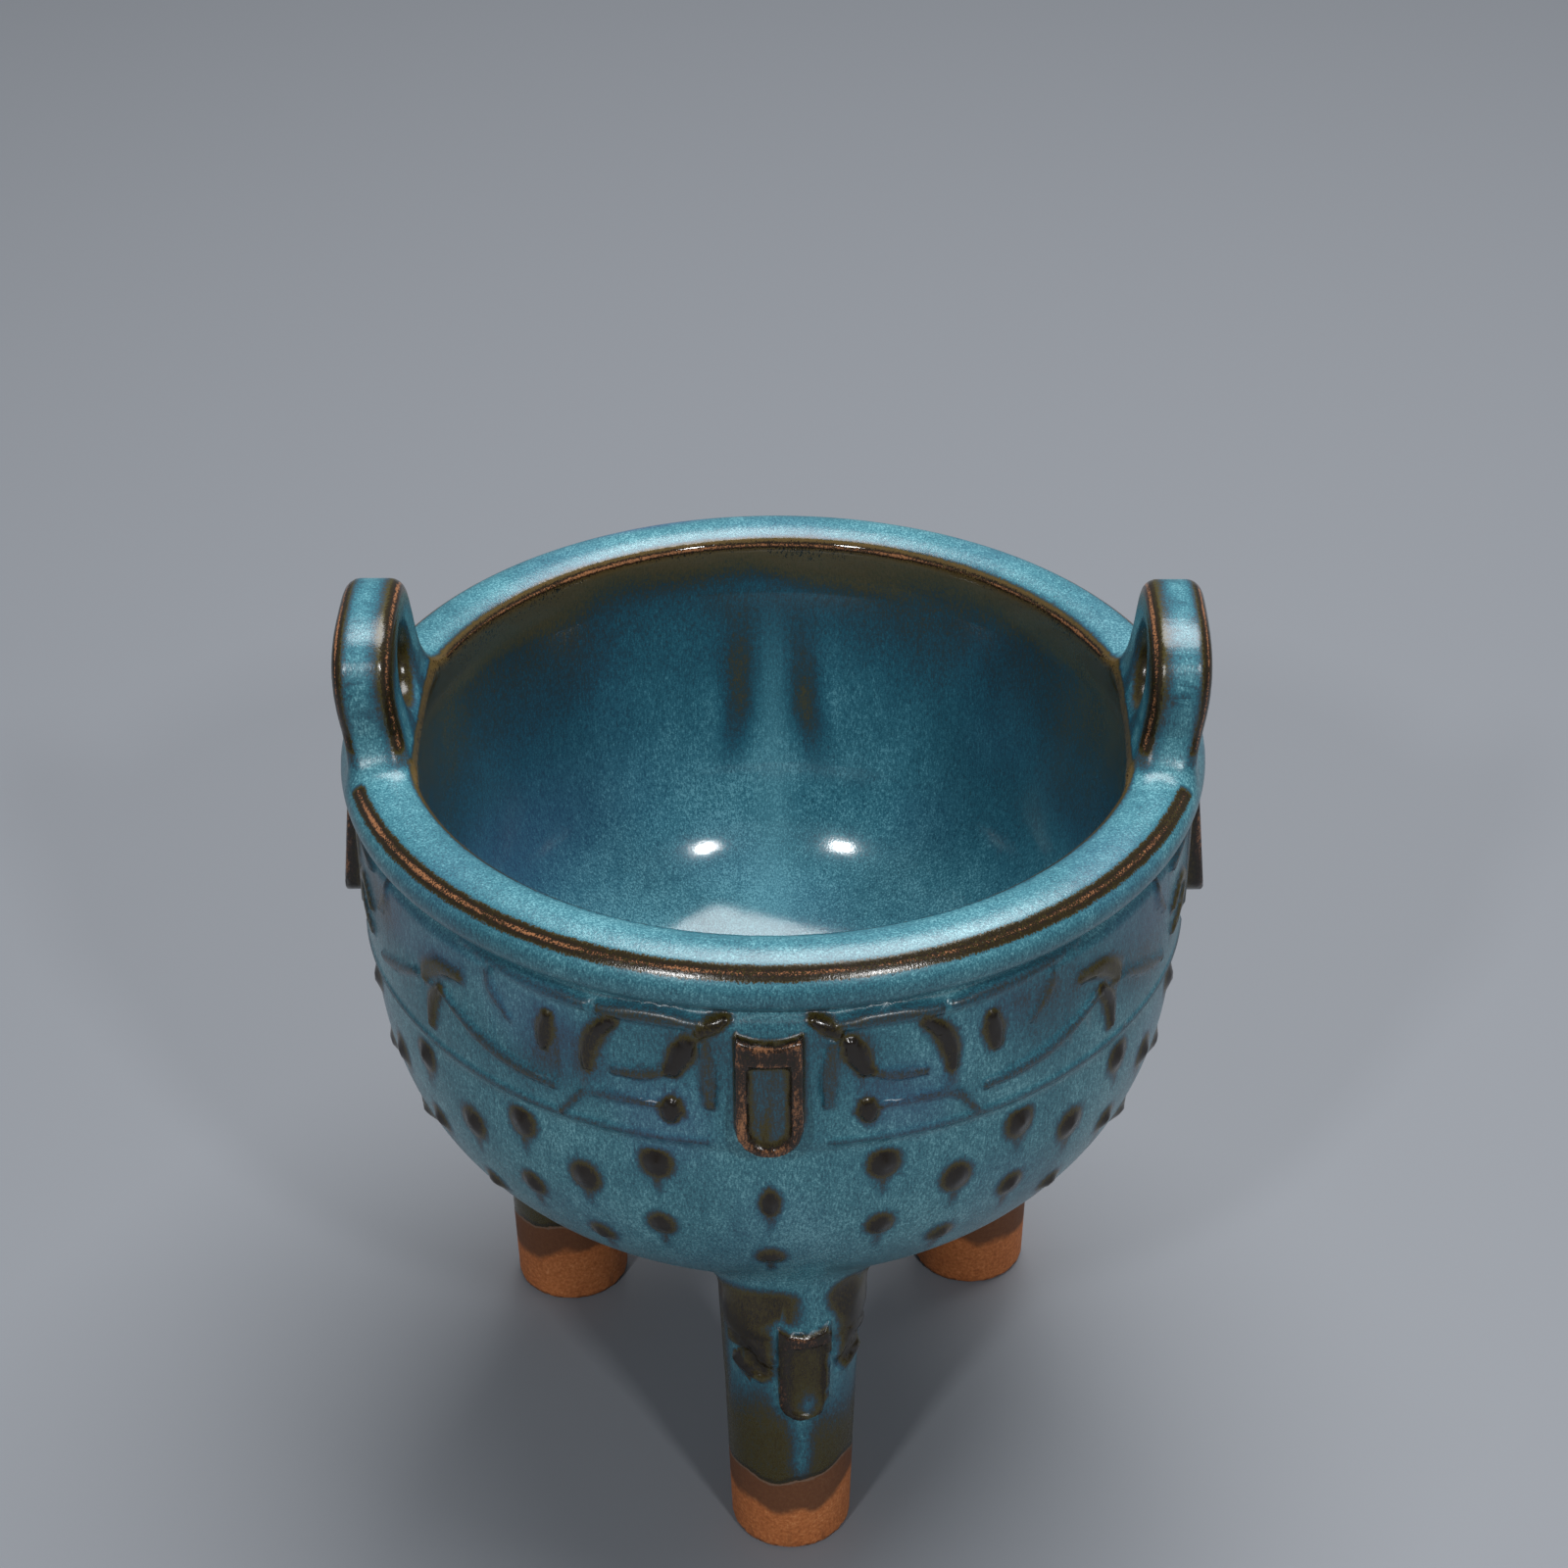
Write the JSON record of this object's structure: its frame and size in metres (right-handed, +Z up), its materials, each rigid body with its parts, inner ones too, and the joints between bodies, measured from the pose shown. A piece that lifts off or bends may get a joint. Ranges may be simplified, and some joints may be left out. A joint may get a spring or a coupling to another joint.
{
  "type": "ceramic tripod censer",
  "caption": "Glazed stoneware tripod censer: a round open bowl with a thick lip, two upright pierced ears on the rim, a relief frieze and studs, on solid cylindrical legs.",
  "frame": {"origin": "on the bowl's axis at the plane of the feet", "axes": "+Z up through the bowl, +X to the right towards one ear, -Y towards the front leg"},
  "size_m": [0.1684, 0.1684, 0.1843],
  "materials": {
    "jun_glaze": "gloss"
  },
  "bodies": {
    "root": {"censer": "jun_glaze"}
  },
  "joints": []
}
